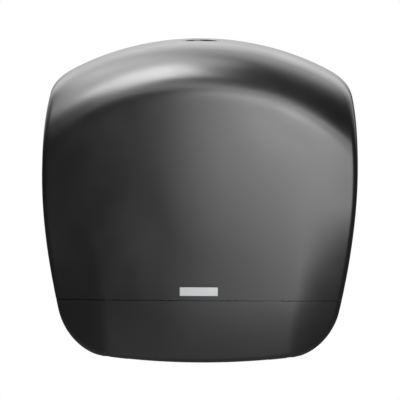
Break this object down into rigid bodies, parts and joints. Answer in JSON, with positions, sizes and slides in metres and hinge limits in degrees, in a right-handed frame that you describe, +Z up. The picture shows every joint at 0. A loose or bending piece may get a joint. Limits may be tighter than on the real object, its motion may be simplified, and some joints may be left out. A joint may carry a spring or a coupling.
{
  "type": "jumbo toilet roll dispenser",
  "caption": "Wall-mounted dispenser for a jumbo toilet roll, with a rounded drop-front cover, top lock, braked spindle and toothed paper outlet.",
  "frame": {"origin": "on the wall face, straight behind the axis of the roll spindle", "axes": "+X to the right as seen from the room, +Y into the wall, +Z up"},
  "size_m": [0.31, 0.1327, 0.3141],
  "materials": {
    "cover_plastic": "moulded satin black ABS with a fine texture",
    "chassis_plastic": "moulded dark grey ABS",
    "hub_plastic": "moulded mid grey polypropylene",
    "lock_plastic": "moulded grey acetal",
    "badge": "satin silver, left bare",
    "steel": "zinc-plated steel",
    "felt": "pressed felt"
  },
  "bodies": {
    "base": {"back_plate": "chassis_plastic", "outlet_tray": "chassis_plastic", "tray_screw_left": "steel", "tray_screw_right": "steel", "tear_strip_left": "steel", "tear_strip_right": "steel", "strip_screw_left_front": "steel", "strip_screw_left_rear": "steel", "strip_screw_right_front": "steel", "strip_screw_right_rear": "steel", "latch_keeper": "steel", "keeper_screw_left": "steel", "keeper_screw_right": "steel", "spindle_post": "chassis_plastic", "post_screw_1": "steel", "post_screw_2": "steel", "post_screw_3": "steel", "brake_spring": "steel", "brake_washer": "felt", "end_washer": "steel", "spindle_screw": "steel", "hinge_pin_left": "steel", "hinge_pin_right": "steel"},
    "hub": {"roll_hub": "hub_plastic", "hub_cap": "hub_plastic"},
    "cover": {"front_cover": "cover_plastic", "lower_cover": "cover_plastic", "cover_screw_left_inner": "steel", "cover_screw_left_outer": "steel", "cover_screw_right_inner": "steel", "cover_screw_right_outer": "steel", "hinge_bush_left": "lock_plastic", "hinge_bush_right": "lock_plastic", "nameplate": "badge", "lock_bezel": "cover_plastic", "lock_housing": "lock_plastic", "housing_screw_left": "steel", "housing_screw_right": "steel", "latch_pin": "steel", "button_spring": "steel"},
    "button": {"push_button": "lock_plastic"},
    "key": {"key_plug": "steel"},
    "latch": {"latch_lever": "lock_plastic"}
  },
  "joints": [
    {"name": "cover_swing", "type": "hinge", "parent": "base", "child": "cover", "pos_m": [0, -0.014, -0.13196], "axis": [1, 0, 0], "range_deg": [0, 85]},
    {"name": "hub_spin", "type": "hinge", "parent": "base", "child": "hub", "pos_m": [0, -0.06, 0], "axis": [0, 1, 0], "continuous": true},
    {"name": "button_press", "type": "slide", "parent": "cover", "child": "button", "axis": [0, 0, -1], "range_m": [0, 0.0027], "stiffness_N_per_m": 600, "springref_m": -0.004, "deforming": ["button_spring"]},
    {"name": "key_turn", "type": "hinge", "parent": "button", "child": "key", "pos_m": [0, -0.03, 0.1592], "axis": [0, 0, 1], "range_deg": [0, 90]},
    {"name": "latch_swing", "type": "hinge", "parent": "cover", "child": "latch", "pos_m": [0, -0.05, 0.14228], "axis": [-1, 0, 0], "range_deg": [0, 8]}
  ],
  "couplings": [
    {"joint": "latch_swing", "follows": "button_press", "rad_per_m": 50}
  ]
}
